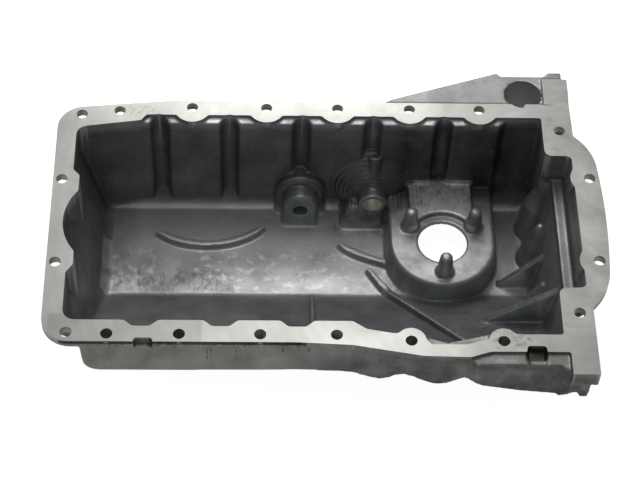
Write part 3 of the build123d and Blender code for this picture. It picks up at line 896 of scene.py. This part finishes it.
class OILPAN_OT_thread(bpy.types.Operator):
    """Make the drain's tapped thread."""

    bl_idname = "oilpan.thread"
    bl_label = "Drain thread"

    def execute(self, context):
        settings = context.scene.oilpan_thread
        mesh = thread_mesh(settings)
        if not mesh.polygons:
            raise RuntimeError("the drain's thread came out empty")
        mesh.materials.append(drilled_aluminium(
            "tapped_aluminium", context.scene.oilpan_casting.arc_mm,
            settings.tapped_dark, settings.tapped_light,
        ))
        thread = new_object("drain_thread", mesh)
        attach(thread, "root")
        return {"FINISHED"}


def soft_box(name, at, aim, side, power, colour):
    """Square lamp at a place, turned towards the point that it lights."""
    data = bpy.data.lights.new(name, "AREA")
    data.shape = "SQUARE"
    data.size = side
    data.energy = power
    data.color = linear(colour)[:3]
    lamp = bpy.data.objects.new(name, data)
    bpy.context.scene.collection.objects.link(lamp)
    lamp.location = at
    lamp.rotation_euler = (aim - at).to_track_quat("-Z", "Y").to_euler()


def set_table(stage):
    """White table under the pan."""
    mesh = bpy.data.meshes.new("table")
    half = TABLE_HALF * MM
    height = PAN_LOW.z - TABLE_GAP * MM
    corners = ((-half, -half), (half, -half), (half, half), (-half, half))
    mesh.from_pydata([(x, y, height) for x, y in corners], [], [(0, 1, 2, 3)])
    mesh.materials.append(table_top(stage))
    new_object("table", mesh)


def set_lamps(stage):
    """Soft lamps behind and above the pan, with two faint ones that lift the shadows."""
    aim = Vector(stage.lamp_aim)
    for name, azimuth, height, power in LAMPS:
        turn, rise = math.radians(azimuth), math.radians(height)
        level = math.cos(rise)
        towards = Vector((math.sin(turn) * level, math.cos(turn) * level, math.sin(rise)))
        at = aim + stage.lamp_away * towards
        soft_box(name, at, aim, stage.lamp_side, power, stage.lamp_colour)


def set_room(context, stage):
    """Dim room that is white only where the camera looks straight at it."""
    world = bpy.data.worlds.new("white_room")
    context.scene.world = world
    world.use_nodes = True
    tree = world.node_tree
    tree.nodes.clear()
    # everything else, reflections included, sees the same faint glow
    seen = seen_share(tree, 1.0 - stage.room_glow, 0.0)
    strength = node(tree, "ShaderNodeMath", {0: seen}, {1: stage.room_glow}, operation="ADD")
    light = node(
        tree, "ShaderNodeBackground", {"Strength": strength.outputs[0]}, {"Color": (1, 1, 1, 1)},
    )
    node(tree, "ShaderNodeOutputWorld", {"Surface": light.outputs["Background"]})


def set_camera(context, stage):
    """Camera above the near side, level with the pan's length."""
    data = bpy.data.cameras.new("camera")
    data.sensor_width = 36.0
    data.lens = stage.lens
    data.clip_start = 0.05
    camera = bpy.data.objects.new("camera", data)
    context.scene.collection.objects.link(camera)
    camera.location = stage.camera_at
    camera.rotation_euler = Euler(stage.camera_turn, "XYZ")
    context.scene.camera = camera


class OILPAN_OT_stage(bpy.types.Operator):
    """Set the white table, the lamps, the room and the camera."""

    bl_idname = "oilpan.stage"
    bl_label = "Stage"

    def execute(self, context):
        stage = context.scene.oilpan_stage
        set_table(stage)
        set_lamps(stage)
        set_room(context, stage)
        set_camera(context, stage)
        context.scene.view_settings.view_transform = "Standard"
        return {"FINISHED"}


class OILPAN_PT_panel(bpy.types.Panel):
    """Buttons and settings for the oil pan."""

    bl_label = "Oil pan"
    bl_idname = "OILPAN_PT_panel"
    bl_space_type = "VIEW_3D"
    bl_region_type = "UI"
    bl_category = "Oil pan"

    def draw(self, context):
        for settings, operator in (
            (context.scene.oilpan_casting, OILPAN_OT_casting),
            (context.scene.oilpan_thread, OILPAN_OT_thread),
            (context.scene.oilpan_stage, OILPAN_OT_stage),
        ):
            box = self.layout.box()
            for name in settings.__annotations__:
                box.prop(settings, name)
            box.operator(operator.bl_idname)


CLASSES = (
    CastingSettings, ThreadSettings, StageSettings,
    OILPAN_OT_casting, OILPAN_OT_thread, OILPAN_OT_stage, OILPAN_PT_panel,
)


def register():
    """Register the classes and hang the settings on the scene."""
    for cls in CLASSES:
        bpy.utils.register_class(cls)
    bpy.types.Scene.oilpan_casting = bpy.props.PointerProperty(type=CastingSettings)
    bpy.types.Scene.oilpan_thread = bpy.props.PointerProperty(type=ThreadSettings)
    bpy.types.Scene.oilpan_stage = bpy.props.PointerProperty(type=StageSettings)


def unregister():
    """Undo register."""
    del bpy.types.Scene.oilpan_stage
    del bpy.types.Scene.oilpan_thread
    del bpy.types.Scene.oilpan_casting
    for cls in reversed(CLASSES):
        bpy.utils.unregister_class(cls)


def main():
    """Make every piece and the stage."""
    register()
    bpy.ops.oilpan.casting()
    bpy.ops.oilpan.thread()
    bpy.ops.oilpan.stage()


if __name__ == "__main__":
    main()
